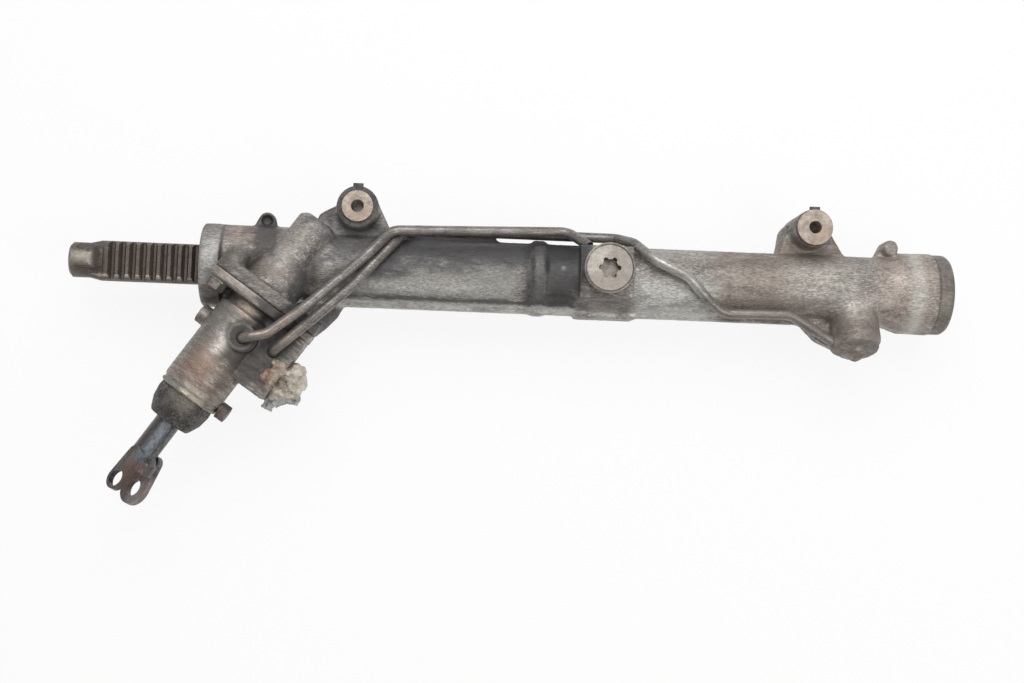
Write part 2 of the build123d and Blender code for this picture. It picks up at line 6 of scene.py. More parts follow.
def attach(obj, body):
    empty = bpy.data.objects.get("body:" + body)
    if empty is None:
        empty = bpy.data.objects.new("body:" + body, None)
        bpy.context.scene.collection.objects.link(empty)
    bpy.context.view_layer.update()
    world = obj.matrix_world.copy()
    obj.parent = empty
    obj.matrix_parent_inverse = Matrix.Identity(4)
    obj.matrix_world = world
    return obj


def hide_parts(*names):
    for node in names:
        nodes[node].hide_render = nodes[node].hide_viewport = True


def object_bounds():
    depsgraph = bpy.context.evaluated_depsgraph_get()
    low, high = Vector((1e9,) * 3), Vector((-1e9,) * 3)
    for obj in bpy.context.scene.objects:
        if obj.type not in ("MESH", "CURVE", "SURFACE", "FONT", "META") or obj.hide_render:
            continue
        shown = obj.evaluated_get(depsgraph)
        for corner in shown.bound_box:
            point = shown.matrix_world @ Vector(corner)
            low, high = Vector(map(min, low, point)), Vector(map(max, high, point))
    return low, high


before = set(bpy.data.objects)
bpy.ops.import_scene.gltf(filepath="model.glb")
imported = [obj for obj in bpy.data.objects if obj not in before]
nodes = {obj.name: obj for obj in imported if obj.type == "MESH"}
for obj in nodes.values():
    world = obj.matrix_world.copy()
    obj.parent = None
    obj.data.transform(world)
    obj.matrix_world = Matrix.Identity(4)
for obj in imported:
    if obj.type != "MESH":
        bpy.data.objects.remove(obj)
cad_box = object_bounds()
bpy.ops.object.select_all(action="DESELECT")

# Camera over the workshop floor, looking down at the rack as it lies there.
# It stands a little over a metre above the tube, near the valve end.
CAMERA_PLACE = (0.0643, -0.1887, 1.160)
CAMERA_LENS = 50.98
SENSOR_WIDTH = 36.0
NEAREST = 0.05
FARTHEST = 20
view = bpy.data.cameras.new("camera")
view.sensor_width = SENSOR_WIDTH
view.lens = CAMERA_LENS
view.clip_start = NEAREST
view.clip_end = FARTHEST
camera = bpy.data.objects.new("camera", view)
bpy.context.scene.collection.objects.link(camera)
right = Vector((0.9978, 0.0350, 0.0563)).normalized()
ahead = Vector((0.0535, 0.0765, -0.9956)).normalized()
up = right.cross(ahead).normalized()
right = ahead.cross(up).normalized()
turn = Matrix((right, up, -ahead)).transposed().to_4x4()
camera.matrix_world = Matrix.Translation(CAMERA_PLACE) @ turn
bpy.context.scene.camera = camera

# White floor under the rack, with the plain room around it.
# It keeps a faint shadow and shows white to the camera and in bright metal.
FLOOR_SIZE = 12
FLOOR_MIDDLE = (0.1, -0.1)
FLOOR_GAP = 0.0005
FLOOR_GREY = (0.85, 0.85, 0.85, 1)
SHOWN_WHITE = 0.88
bpy.ops.mesh.primitive_plane_add(size=FLOOR_SIZE, location=(*FLOOR_MIDDLE, cad_box[0][2] - FLOOR_GAP))
floor = bpy.context.object
floor.name = "floor"
floor_paint = bpy.data.materials.new("white floor")
floor_paint.use_nodes = True
floor.data.materials.append(floor_paint)
tree = floor_paint.node_tree
tree.nodes.clear()
rays = tree.nodes.new("ShaderNodeLightPath")
seen = tree.nodes.new("ShaderNodeMath")
seen.operation = "MAXIMUM"
tree.links.new(rays.outputs["Is Camera Ray"], seen.inputs[0])
tree.links.new(rays.outputs["Is Glossy Ray"], seen.inputs[1])
share = tree.nodes.new("ShaderNodeMath")
share.operation = "MULTIPLY"
share.inputs[1].default_value = SHOWN_WHITE
tree.links.new(seen.outputs[0], share.inputs[0])
matt = tree.nodes.new("ShaderNodeBsdfDiffuse")
matt.inputs["Color"].default_value = FLOOR_GREY
bright = tree.nodes.new("ShaderNodeEmission")
bright.inputs["Strength"].default_value = 1.0
both = tree.nodes.new("ShaderNodeMixShader")
tree.links.new(share.outputs[0], both.inputs[0])
tree.links.new(matt.outputs[0], both.inputs[1])
tree.links.new(bright.outputs[0], both.inputs[2])
out = tree.nodes.new("ShaderNodeOutputMaterial")
tree.links.new(both.outputs[0], out.inputs[0])

# Plain white room: even light from all round, white where it shows past the floor.
# Two soft lamps stand in it, a wide one above the eyes and a small one beyond the cylinder end.
ROOM_LIGHT = 0.44
LAMPS = (("wide lamp", (0.1, 0.75, 1.3), 1.2, 16.5), ("side lamp", (1.0, -0.5, 1.2), 0.9, 6))
LAMP_AIM = Vector((0.12, -0.06, 0))
room = bpy.data.worlds.new("room")
bpy.context.scene.world = room
room.use_nodes = True
tree = room.node_tree
tree.nodes["Background"].inputs["Color"].default_value = (1, 1, 1, 1)
shown = tree.nodes.new("ShaderNodeMath")
shown.operation = "MULTIPLY_ADD"
shown.inputs[1].default_value = 1 - ROOM_LIGHT
shown.inputs[2].default_value = ROOM_LIGHT
tree.links.new(tree.nodes.new("ShaderNodeLightPath").outputs["Is Camera Ray"], shown.inputs[0])
tree.links.new(shown.outputs[0], tree.nodes["Background"].inputs["Strength"])
for name, place, size, power in LAMPS:
    lamp = bpy.data.lights.new(name, "AREA")
    lamp.size = size
    lamp.energy = power
    lamp_object = bpy.data.objects.new(name, lamp)
    bpy.context.scene.collection.objects.link(lamp_object)
    aim = LAMP_AIM - Vector(place)
    lamp_object.matrix_world = Matrix.Translation(place) @ aim.to_track_quat("-Z", "Y").to_matrix().to_4x4()
bpy.context.scene.view_settings.view_transform = "Standard"

# Rack bar: one forged and ground steel bar with straight teeth cut along its flat.
# Old grease has dried brown between the teeth, and the land at its end is rubbed bright.


def tone(red, green, blue):
    """Linear colour from the 0-255 values of a paint chart."""
    shares = [value / 255 for value in (red, green, blue)]
    return tuple(v / 12.92 if v < 0.04045 else ((v + 0.055) / 1.055) ** 2.4 for v in shares) + (1,)


def effect(name, ins, outs):
    """Empty node group with named sockets, and its two ends."""
    group = bpy.data.node_groups.new(name, "ShaderNodeTree")
    for label, kind, default in ins:
        socket = group.interface.new_socket(label, in_out="INPUT", socket_type=kind)
        socket.default_value = default
    for label in outs:
        group.interface.new_socket(label, in_out="OUTPUT", socket_type="NodeSocketFloat")
    return group, group.nodes.new("NodeGroupInput"), group.nodes.new("NodeGroupOutput")


def feed(tree, socket, value):
    """Sets a socket to a plain value, or links it to an output."""
    if isinstance(value, bpy.types.NodeSocket):
        tree.links.new(value, socket)
    else:
        socket.default_value = value


def maths(tree, kind, first, second=0.0):
    """Works one sum on two numbers or outputs."""
    node = tree.nodes.new("ShaderNodeMath")
    node.operation = kind
    feed(tree, node.inputs[0], first)
    feed(tree, node.inputs[1], second)
    return node.outputs[0]


def vector_maths(tree, kind, first, second=(0, 0, 0)):
    """The same for two vectors."""
    node = tree.nodes.new("ShaderNodeVectorMath")
    node.operation = kind
    feed(tree, node.inputs[0], first)
    feed(tree, node.inputs[1], second)
    return node.outputs[0]


def noise(tree, where, scale, detail, rough):
    """Noise about 0.5, at so many grains a metre."""
    node = tree.nodes.new("ShaderNodeTexNoise")
    node.inputs["Detail"].default_value = detail
    node.inputs["Roughness"].default_value = rough
    feed(tree, node.inputs["Scale"], scale)
    feed(tree, node.inputs["Vector"], where)
    return node.outputs[0]


def fade(tree, value, low, high):
    """Smooth step from 0 at low to 1 at high."""
    node = tree.nodes.new("ShaderNodeMapRange")
    node.interpolation_type = "SMOOTHSTEP"
    for socket, each in zip(node.inputs[:3], (value, low, high)):
        feed(tree, socket, each)
    return node.outputs[0]


def turned_flat(tree, where, angle):
    """The place turned about the vertical, so that its Y runs along a leaned axis."""
    turn = tree.nodes.new("ShaderNodeVectorRotate")
    turn.rotation_type = "Z_AXIS"
    feed(tree, turn.inputs["Vector"], where)
    feed(tree, turn.inputs["Angle"], angle)
    return turn.outputs[0]


# skin: blotches of dirt and bare metal, fine specks, and the height of both
BLOTCH_SHARE = 0.55
FINER = 7.0
WANDER_SCALE = 130.0
skin_ins = (("Scale", "NodeSocketFloat", 100.0), ("Stretch", "NodeSocketVector", (1, 1, 1)),
            ("Lean", "NodeSocketFloat", 0.0))
skin, start, end = effect("skin", skin_ins, ("Blotch", "Speck", "Fine", "Wander", "Height"))
place = skin.nodes.new("ShaderNodeTexCoord").outputs["Object"]
leaned = turned_flat(skin, place, start.outputs["Lean"])
drawn = vector_maths(skin, "MULTIPLY", leaned, start.outputs["Stretch"])
blotch = noise(skin, drawn, start.outputs["Scale"], 5, 0.7)
fine = noise(skin, drawn, maths(skin, "MULTIPLY", start.outputs["Scale"], FINER), 3, 0.75)
coarse_part = maths(skin, "MULTIPLY", blotch, BLOTCH_SHARE)
both_sizes = maths(skin, "ADD", coarse_part, maths(skin, "MULTIPLY", fine, 1 - BLOTCH_SHARE))
skin.links.new(fade(skin, both_sizes, 0.38, 0.62), end.inputs["Blotch"])
skin.links.new(fade(skin, fine, 0.57, 0.68), end.inputs["Speck"])
skin.links.new(fine, end.inputs["Fine"])
skin.links.new(maths(skin, "SUBTRACT", noise(skin, drawn, WANDER_SCALE, 5, 0.75), 0.5), end.inputs["Wander"])
skin.links.new(maths(skin, "ADD", blotch, maths(skin, "MULTIPLY", fine, 0.7)), end.inputs["Height"])

# mark: a ragged patch of oil, wear and rust, also used for painted highlights and painted shade; a soft-edged
# box or disc leaned about the vertical
mark_ins = (("Centre", "NodeSocketVector", (0, 0, 0)), ("Half", "NodeSocketVector", (0, 0, 0)),
            ("Lean", "NodeSocketFloat", 0.0), ("Soft", "NodeSocketFloat", 0.005),
            ("Ragged", "NodeSocketFloat", 0.02), ("Wander", "NodeSocketFloat", 0.0),
            ("Round", "NodeSocketFloat", 0.0))
mark_group, start, end = effect("mark", mark_ins, ("Mask",))
place = mark_group.nodes.new("ShaderNodeTexCoord").outputs["Object"]
away = vector_maths(mark_group, "SUBTRACT", place, start.outputs["Centre"])
away = vector_maths(mark_group, "ABSOLUTE", turned_flat(mark_group, away, start.outputs["Lean"]))
split = mark_group.nodes.new("ShaderNodeSeparateXYZ")
mark_group.links.new(vector_maths(mark_group, "SUBTRACT", away, start.outputs["Half"]), split.inputs[0])
square = maths(mark_group, "MAXIMUM", split.outputs[0], split.outputs[1])
radius = mark_group.nodes.new("ShaderNodeVectorMath")
radius.operation = "LENGTH"
mark_group.links.new(vector_maths(mark_group, "MULTIPLY", away, (1, 1, 0)), radius.inputs[0])
half = mark_group.nodes.new("ShaderNodeSeparateXYZ")
mark_group.links.new(start.outputs["Half"], half.inputs[0])
disc = maths(mark_group, "SUBTRACT", radius.outputs["Value"], half.outputs[0])
as_disc = maths(mark_group, "MULTIPLY", disc, start.outputs["Round"])
as_box = maths(mark_group, "MULTIPLY", square, maths(mark_group, "SUBTRACT", 1.0, start.outputs["Round"]))
far = maths(mark_group, "MAXIMUM", maths(mark_group, "ADD", as_disc, as_box), split.outputs[2])
astray = maths(mark_group, "MULTIPLY", start.outputs["Wander"], start.outputs["Ragged"])
far = maths(mark_group, "ADD", far, astray)
soft_start = maths(mark_group, "MULTIPLY", start.outputs["Soft"], -1.0)
inside = fade(mark_group, far, soft_start, start.outputs["Soft"])
mark_group.links.new(maths(mark_group, "SUBTRACT", 1.0, inside), end.inputs["Mask"])


def placed(tree, group, values):
    """A copy of a node group with its values set."""
    node = tree.nodes.new("ShaderNodeGroup")
    node.node_tree = group
    for label, value in values.items():
        feed(tree, node.inputs[label], value)
    return node


def mix(tree, share, under, top, kind="MIX"):
    """One colour laid over another."""
    node = tree.nodes.new("ShaderNodeMix")
    node.data_type = "RGBA"
    node.blend_type = kind
    for socket, value in zip((node.inputs[0], node.inputs[6], node.inputs[7]), (share, under, top)):
        feed(tree, socket, value)
    return node.outputs[2]


def mark(x, y, wide, tall, paint, amount=0.85, soft=5, ragged=30, lean=0.0, z=30, deep=34):
    """A patch of paint about x, y and z, and how far it spreads each way, all in millimetres.

    Soft is the width of its faded edge and ragged how far that edge wanders.
    """
    return {"Centre": [v / 1000 for v in (x, y, z)], "Half": [v / 1000 for v in (wide, tall, deep)],
            "Lean": lean, "Soft": soft / 1000, "Ragged": ragged / 1000, "paint": paint, "amount": amount}


def spot(x, y, radius, paint, amount=0.85, soft=0.4, ragged=2, z=30, deep=34):
    """A round patch of paint about a place, millimetres."""
    return {**mark(x, y, radius, radius, paint, amount, soft, ragged, 0.0, z, deep), "Round": 1.0}


CORNER_DIRT = tone(46, 43, 41)
RUBBED_EDGE = tone(176, 170, 162)
INNER_BEND = (0.38, 0.485)
OUTER_BEND = (0.53, 0.62)
DULLER = 0.1
GLOSS_RANGE = 0.18


def finish(name, light, dark, speck, metal, rough, scale=110.0, stretch=(1, 1, 1), lean=0.0, specks=0.4,
           bump=0.3, depth=0.0005, even=0.5, hollows=0.0, grit=0.9, mottle=0.0, marks=()):
    """A surface of two tones in blotches, with specks, marks laid over it, and a fine grain over all.

    Even is how little a mark follows the blotches, hollows how much dirt lies in inner corners,
    grit the strength of the fine grain and mottle that of the blotches over all.
    """
    made = bpy.data.materials.new(name)
    made.use_nodes = True
    tree = made.node_tree
    shader = tree.nodes["Principled BSDF"]
    shader.inputs["Metallic"].default_value = metal
    grain = placed(tree, skin, {"Scale": scale, "Stretch": stretch, "Lean": lean})
    blotch = grain.outputs["Blotch"]
    colour = mix(tree, blotch, tone(*dark), tone(*light))
    colour = mix(tree, maths(tree, "MULTIPLY", grain.outputs["Speck"], specks), colour, tone(*speck))
    share_kept = maths(tree, "ADD", maths(tree, "MULTIPLY", blotch, 1 - even), even)
    for each in marks:
        values = {label: value for label, value in each.items() if label not in ("paint", "amount")}
        patch = placed(tree, mark_group, {**values, "Wander": grain.outputs["Wander"]})
        cover = maths(tree, "MULTIPLY", patch.outputs["Mask"], share_kept)
        strength = maths(tree, "MULTIPLY", cover, each["amount"])
        colour = mix(tree, strength, colour, tone(*each["paint"]))
    if hollows:
        # dirt gathers in inner corners, and outer edges rub bare
        bend = tree.nodes.new("ShaderNodeNewGeometry").outputs["Pointiness"]
        inner = maths(tree, "SUBTRACT", 1.0, fade(tree, bend, *INNER_BEND))
        colour = mix(tree, maths(tree, "MULTIPLY", inner, hollows), colour, CORNER_DIRT)
        outer = fade(tree, bend, *OUTER_BEND)
        colour = mix(tree, maths(tree, "MULTIPLY", outer, hollows * 0.5), colour, RUBBED_EDGE)
    shade = maths(tree, "ADD", maths(tree, "MULTIPLY", grain.outputs["Fine"], grit), 1 - grit / 2)
    if mottle:
        patches = maths(tree, "ADD", maths(tree, "MULTIPLY", blotch, mottle), 1 - mottle / 2)
        shade = maths(tree, "MULTIPLY", shade, patches)
    grey = tree.nodes.new("ShaderNodeCombineColor")
    for socket in grey.inputs[:3]:
        tree.links.new(shade, socket)
    tree.links.new(mix(tree, 1.0, colour, grey.outputs[0], "MULTIPLY"), shader.inputs["Base Color"])
    worn = maths(tree, "MULTIPLY", blotch, GLOSS_RANGE)
    tree.links.new(maths(tree, "SUBTRACT", rough + DULLER, worn), shader.inputs["Roughness"])
    relief = tree.nodes.new("ShaderNodeBump")
    relief.inputs["Strength"].default_value = bump
    relief.inputs["Distance"].default_value = depth
    tree.links.new(grain.outputs["Height"], relief.inputs["Height"])
    tree.links.new(relief.outputs[0], shader.inputs["Normal"])
    return made


def dress(names, material):
    """Gives CAD nodes a finish."""
    for name in names:
        slots = nodes[name].material_slots
        if not slots:
            nodes[name].data.materials.append(material)
        for slot in slots:
            slot.material = material


BROWN_GREASE = (88, 76, 69)
RUBBED = (176, 168, 158)
bar_marks = [
    mark(-216, -47, 9, 4.5, RUBBED, 0.9, 4, 12),
    mark(-204, -48, 3, 20, (62, 54, 50), 0.7, 2, 8),
    mark(-222, -48, 3, 20, (120, 114, 106), 0.6, 2, 8),
    mark(-150, -48, 60, 14, (98, 88, 82), 0.8, 0.5, 4, z=10.6, deep=0.7),
    # painted highlight: a bright line along the lower ends of the teeth
    mark(-150, -61, 60, 1.4, (206, 198, 190), 0.85, 0.7, 6, z=10, deep=2),
    mark(-150, -48, 60, 14, BROWN_GREASE, 0.85, 2, 8, z=5, deep=4)
]
bar_steel = finish("greasy rack bar steel", light=(106, 97, 90), dark=(66, 57, 51), speck=(138, 130, 122),
                   metal=0.35, rough=0.45, scale=150, stretch=(0.35, 1, 1), specks=0.3, even=0.7,
                   marks=bar_marks)
dress(["rack_bar"], bar_steel)

# Pinion, its valve sleeve and torsion bar: hardened steel, hobbed and ground.
# They run in oil inside the castings, so they stay clean and bright.
ground_steel = finish("ground steel", light=(150, 150, 150), dark=(112, 112, 114), speck=(180, 180, 180),
                      metal=0.8, rough=0.3, scale=160, specks=0.2, bump=0.1)
dress(["pinion", "valve_sleeve", "sleeve_pin", "torsion_bar", "torsion_bar_pin"], ground_steel)

# Bearings: bright chromium steel races and balls, with a pressed brass cage.
# They are pressed into the tower and the valve barrel.
race_steel = finish("bearing steel", light=(170, 171, 173), dark=(132, 133, 136), speck=(190, 190, 192),
                    metal=0.9, rough=0.22, scale=160, specks=0.1, bump=0.05)
dress(["bearing_inner_race", "bearing_outer_race", "bearing_balls", "pinion_upper_bearing", "input_bearing"],
      race_steel)
cage_brass = finish("pressed brass", light=(178, 150, 92), dark=(134, 106, 62), speck=(198, 174, 120),
                    metal=0.8, rough=0.35, scale=160)
dress(["bearing_cage"], cage_brass)

# Piston and the glands of the cylinder: turned steel and filled plastic rings.
# The rings snap into their grooves before the bar slides in.
turned_steel = finish("turned steel", light=(142, 140, 137), dark=(104, 101, 98), speck=(168, 166, 162),
                      metal=0.7, rough=0.35, scale=140, stretch=(3, 0.4, 0.4), specks=0.2)
dress(["piston", "outer_guide_clip", "inner_seal_ring", "input_seal_clip", "pinion_nut", "pinion_end_cap",
       "yoke_spring"], turned_steel)
ring_plastic = finish("filled ring plastic", light=(92, 88, 82), dark=(62, 59, 55), speck=(116, 112, 104),
                      metal=0.0, rough=0.5, scale=160, specks=0.2)
dress(["sleeve_rings", "piston_ring", "inner_rod_guide", "outer_rod_guide", "yoke_liner"], ring_plastic)
seal_rubber = finish("seal rubber", light=(70, 70, 70), dark=(46, 46, 46), speck=(92, 91, 89), metal=0.0,
                     rough=0.6, scale=160, specks=0.2)
dress(["pinion_seal", "input_seal", "inner_rod_seal", "outer_rod_seal"], seal_rubber)

# Yoke, its plug and locknut: die-cast alloy pressed against the back of the bar.
# The plug screws into the boss and the thin locknut holds its setting.
yoke_alloy = finish("yoke alloy", light=(158, 155, 150), dark=(112, 109, 105), speck=(182, 179, 174),
                    metal=0.6, rough=0.4, scale=130)
dress(["yoke", "yoke_plug", "yoke_locknut"], yoke_alloy)

# Rack housing: one sand-textured aluminium casting, machined at the collars, bores, eyes and pad.
# Inner corners have a cast radius, and years of oil and road dirt lie on it.
CAST_VOXEL = 0.0011
MERGED = 0.00001
MOST_TRIANGLES = 190000
SAND_GRAIN = 0.0035
SAND_DEPTH = 0.0005


def work_on(piece):
    """Selects one piece alone."""
    bpy.ops.object.select_all(action="DESELECT")
    piece.select_set(True)
    bpy.context.view_layer.objects.active = piece


def applied(piece, kind, **settings):
    """Adds a modifier with its settings and applies it."""
    work_on(piece)
    change = piece.modifiers.new(kind.lower(), kind)
    for label, value in settings.items():
        setattr(change, label, value)
    bpy.ops.object.modifier_apply(modifier=change.name)


def lumps(name, size, kind="CLOUDS"):
    """A texture of lumps of one size, for displacing a mesh."""
    pattern = bpy.data.textures.new(name, kind)
    pattern.noise_scale = size
    return pattern


def recast(node_name, name, voxel, is_cast, rounds, extras=()):
    """A copy of a machined solid whose cast faces get soft corners and a sand texture."""
    piece = bpy.data.objects.new(name, nodes[node_name].data.copy())
    bpy.context.scene.collection.objects.link(piece)
    work_on(piece)
    bpy.ops.object.mode_set(mode="EDIT")
    bpy.ops.mesh.select_all(action="SELECT")
    bpy.ops.mesh.remove_doubles(threshold=MERGED)
    bpy.ops.object.mode_set(mode="OBJECT")
    if extras:
        for extra in extras:
            extra.select_set(True)
        bpy.ops.object.join()
    applied(piece, "REMESH", mode="VOXEL", voxel_size=voxel)
    cast = piece.vertex_groups.new(name="cast")
    for vertex in piece.data.vertices:
        x, y, z = [value * 1000 for value in vertex.co]
        cast.add([vertex.index], is_cast(x, y, z), "REPLACE")
    applied(piece, "SMOOTH", factor=0.5, iterations=rounds, vertex_group="cast")
    applied(piece, "DISPLACE", texture=lumps(name + " sand", SAND_GRAIN), strength=SAND_DEPTH, mid_level=0.5,
            vertex_group="cast", texture_coords="LOCAL")
    applied(piece, "DECIMATE", ratio=min(1.0, MOST_TRIANGLES / (2 * len(piece.data.polygons))))
    piece.vertex_groups.clear()
    bpy.ops.object.shade_smooth()
    return piece


# machined faces of the housing, millimetres
MACHINED = 0.06
EYE_SKIN = 0.1
LEFT_BAND = -107
RIGHT_BAND = 462
RACK_Y = -48
TUNNEL_RADIUS = 24.5
PAD_ENDS = (175, 221)
PAD_SIDES = (-67, -21)
PAD_FACE = 28
RIGHT_EYE_X = 364
RIGHT_EYE_Y = -1
EYE_REACH = 15
EYE_FACE = 23.5
EYE_SIDE = -20


def housing_cast(x, y, z):
    """How rough the housing is at a place: near 0 on machined faces, 1 on the casting."""
    on_pad = PAD_ENDS[0] < x < PAD_ENDS[1] and PAD_SIDES[0] < y < PAD_SIDES[1] and z > PAD_FACE
    in_tunnel = ((y - RACK_Y) ** 2 + z ** 2) ** 0.5 < TUNNEL_RADIUS
    if x < LEFT_BAND or x > RIGHT_BAND or in_tunnel or on_pad:
        return MACHINED
    from_eye = min(abs(x) + abs(y), abs(x - RIGHT_EYE_X) + abs(y - RIGHT_EYE_Y))
    if from_eye < EYE_REACH or z > EYE_FACE and y > EYE_SIDE:
        return EYE_SKIN
    return 1.0


# Small forms of the casting, welded into its skin: a blind boss end, a flared boss root,
# the rib along the top of the tube, the web below the collar and the swelling of the port boss.
BLIND_PLACE = (0.4308, -0.0124, 0.0068)
BLIND_RADIUS = 0.0046
BLIND_LENGTH = 0.014
ROOT_PLACE = (-0.0735, -0.0345, 0.005)
ROOT_FOOT = 0.0165
ROOT_TOP = 0.0062
ROOT_LENGTH = 0.030
RIB_PLACE = (0.0485, -0.0205, -0.0112)
RIB_SIZE = (0.127, 0.0115, 0.0098)
WEB_PLACE = (-0.0965, -0.0715, 0.002)
WEB_RADIUS = 0.0085
WEB_HEIGHT = 0.022
PORT_SWELL_Z = 0.0205
PORT_SWELL = ((0.3995, -0.0845, 0.0150), (0.3893, -0.0925, 0.0108), (0.4001, -0.1003, 0.0068),
              (0.4093, -0.0882, 0.0104))
bpy.ops.object.select_all(action="DESELECT")
bpy.ops.mesh.primitive_cylinder_add(vertices=32, radius=BLIND_RADIUS, depth=BLIND_LENGTH, location=BLIND_PLACE)
blind_end = bpy.context.object
bpy.ops.object.mode_set(mode="EDIT")
bpy.ops.mesh.bevel(offset=0.001, segments=3)
bpy.ops.object.mode_set(mode="OBJECT")
bpy.ops.mesh.primitive_cone_add(vertices=40, radius1=ROOT_FOOT, radius2=ROOT_TOP, depth=ROOT_LENGTH,
                                location=ROOT_PLACE, rotation=(radians(-90), 0, 0))
boss_root = bpy.context.object
bpy.ops.mesh.primitive_cube_add(size=1, location=RIB_PLACE, scale=RIB_SIZE)
top_rib = bpy.context.object
bpy.ops.mesh.primitive_cylinder_add(vertices=32, radius=WEB_RADIUS, depth=WEB_HEIGHT, location=WEB_PLACE)
collar_web = bpy.context.object
bpy.ops.object.select_all(action="DESELECT")
port_lumps = []
for x, y, radius in PORT_SWELL:
    bpy.ops.mesh.primitive_ico_sphere_add(subdivisions=4, radius=radius, location=(x, y, PORT_SWELL_Z))
    port_lumps.append(bpy.context.object)
for each in port_lumps:
    each.select_set(True)
bpy.ops.object.join()
port_swell = bpy.context.object
bpy.ops.object.transform_apply(location=True, rotation=True, scale=True)
applied(port_swell, "REMESH", mode="VOXEL", voxel_size=0.0010)
applied(port_swell, "SMOOTH", factor=0.7, iterations=10)
cast_forms = (blind_end, boss_root, top_rib, collar_web, port_swell)
for form in cast_forms:
    work_on(form)
    bpy.ops.object.transform_apply(location=True, rotation=True, scale=True)
HOUSING_ROUNDS = 14
housing_skin = recast("rack_housing", "rack_housing_casting", CAST_VOXEL, housing_cast, HOUSING_ROUNDS,
                      cast_forms)

TAR = (72, 71, 72)
OIL = (86, 83, 81)
SCUFFED = (168, 166, 160)
CHALKY = (178, 172, 164)
PINION_LEAN = radians(34.5)
housing_marks = [
    # gear end: light collar, dark hollow beside the screw boss, tower painted lit down its left side and in
    # painted shade down its right
    mark(-96, -30, 14, 14, (142, 134, 127), 0.7, 8, 40),
    mark(-88, -48, 22, 9, (88, 84, 80), 0.8, 5, 30),
    mark(-94, -16, 12, 5, (96, 88, 82), 0.7, 4, 20),
    mark(-88, -22, 11, 7, (160, 144, 134), 0.6, 6, 30),
    mark(-113, -46, 7, 20, (176, 176, 174), 0.75, 4, 20),
    mark(-113, -76, 8, 8, (104, 100, 95), 0.7, 4, 20),
    mark(-104.5, -48, 0.9, 34, (70, 68, 66), 0.7, 0.6, 3),
    mark(-70, -28, 9, 20, (66, 64, 63), 0.95, 3, 16),
    mark(-84, -14, 5, 8, (84, 80, 77), 0.7, 3, 16),
    mark(-72, -11, 9, 10, TAR, 0.9, 3, 10),
    mark(-65, -42, 20, 8, TAR, 0.5, 5, 40),
    mark(-66, -70, 46, 3.5, (104, 98, 92), 0.8, 2, 12, PINION_LEAN),
    # painted light down the lit left side of the tower
    mark(-50, -34, 8, 24, (158, 152, 145), 0.9, 5, 50, PINION_LEAN),
    mark(-62, -55, 14, 7, (150, 140, 132), 0.7, 4, 30, PINION_LEAN),
    # painted shade down the right side of the tower
    mark(-36, -56, 7, 22, (74, 73, 74), 0.9, 5, 30, PINION_LEAN),
    mark(-21, -54, 5, 4, SCUFFED, 0.6, 4, 30),
    mark(-28, -6, 8, 7, TAR, 0.8, 4, 20),
    mark(-2, -19, 26, 12, (124, 122, 122), 0.9, 5, 30),
    mark(0, -2, 15, 9, (104, 102, 101), 0.8, 4, 20, z=10, deep=40),
    mark(6, -50, 26, 26, (92, 91, 92), 0.8, 8, 50),
    mark(-30, -100, 20, 25, TAR, 0.8, 6, 40),
    # middle: black oil along the top, scuffed plateau, bright ledge
    mark(100, -28, 88, 15, (52, 52, 56), 0.98, 6, 20, z=10, deep=50),
    mark(157, -46, 24, 32, (45, 45, 48), 0.98, 4, 16, z=10, deep=50),
    mark(66, -46, 62, 9, (60, 58, 60), 0.92, 6, 30),
    mark(86, -54, 42, 6, SCUFFED, 0.65, 5, 50),
    mark(60, -62, 64, 5, (186, 186, 180), 0.85, 5, 24),
    mark(114, -56, 15, 8, (140, 138, 133), 0.6, 7, 24, radians(25)),
    mark(82, -70, 92, 1.5, (62, 61, 60), 0.9, 1.0, 10),
    mark(138, -75.5, 152, 3.6, (188, 186, 180), 0.9, 1, 10),
    mark(144, -49, 5, 20, (112, 109, 105), 0.7, 5, 40),
    spot(164, -42, 2, (112, 109, 105), 0.8, 0.9, 3),
    mark(198, -70, 24, 8, (128, 122, 117), 0.8, 3, 30),
    mark(180, -29, 6, 12, TAR, 0.85, 4, 20),
    mark(217, -29, 6, 10, (104, 100, 96), 0.8, 4, 20),
    mark(183, -71, 5, 6, OIL, 0.7, 3, 30),
    mark(214, -73, 5, 5, OIL, 0.6, 3, 30),
    # cylinder end: chalky, then browner towards the port boss
    mark(256, -62, 34, 14, (190, 189, 183), 0.9, 7, 40),
    mark(260, -26, 32, 5, (186, 181, 172), 0.75, 4, 30),
    mark(316, -45, 34, 30, (132, 121, 111), 0.75, 12, 60),
    mark(340, -62, 40, 5, (124, 112, 104), 0.7, 4, 30),
    mark(372, -42, 30, 16, CHALKY, 0.6, 10, 60),
    mark(368, -79, 16, 9, (128, 118, 110), 0.7, 5, 30),
    mark(366, -16, 28, 10, (124, 111, 102), 0.8, 6, 40),
    mark(400, -66, 10, 8, (194, 187, 177), 0.8, 6, 30),
    mark(440, -50, 24, 36, (170, 157, 147), 0.7, 8, 50, z=10, deep=60),
    mark(447, -48, 5, 30, (168, 170, 164), 0.7, 4, 24, z=10, deep=60),
    mark(449, -50, 4.5, 36, (198, 193, 184), 0.6, 4, 20),
    mark(476, -49, 10.5, 40, (112, 105, 98), 0.9, 1.5, 12, z=0, deep=60),
    mark(465.6, -49, 0.9, 40, (84, 76, 70), 0.8, 0.5, 3, z=0, deep=60),
    mark(401, -88, 22, 19, (122, 112, 105), 0.85, 6, 40),
    mark(431, -12, 9, 9, (140, 130, 122), 0.8, 4, 20)
]
cast_skin = finish("oily cast aluminium", light=(146, 140, 134), dark=(98, 93, 89), speck=(188, 183, 176),
                   metal=0.25, rough=0.5, scale=130, stretch=(0.35, 1, 1), even=0.6, hollows=0.5,
                   mottle=0.3, marks=housing_marks)
housing_skin.data.materials.clear()
housing_skin.data.materials.append(cast_skin)
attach(housing_skin, "housing")
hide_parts("rack_housing")

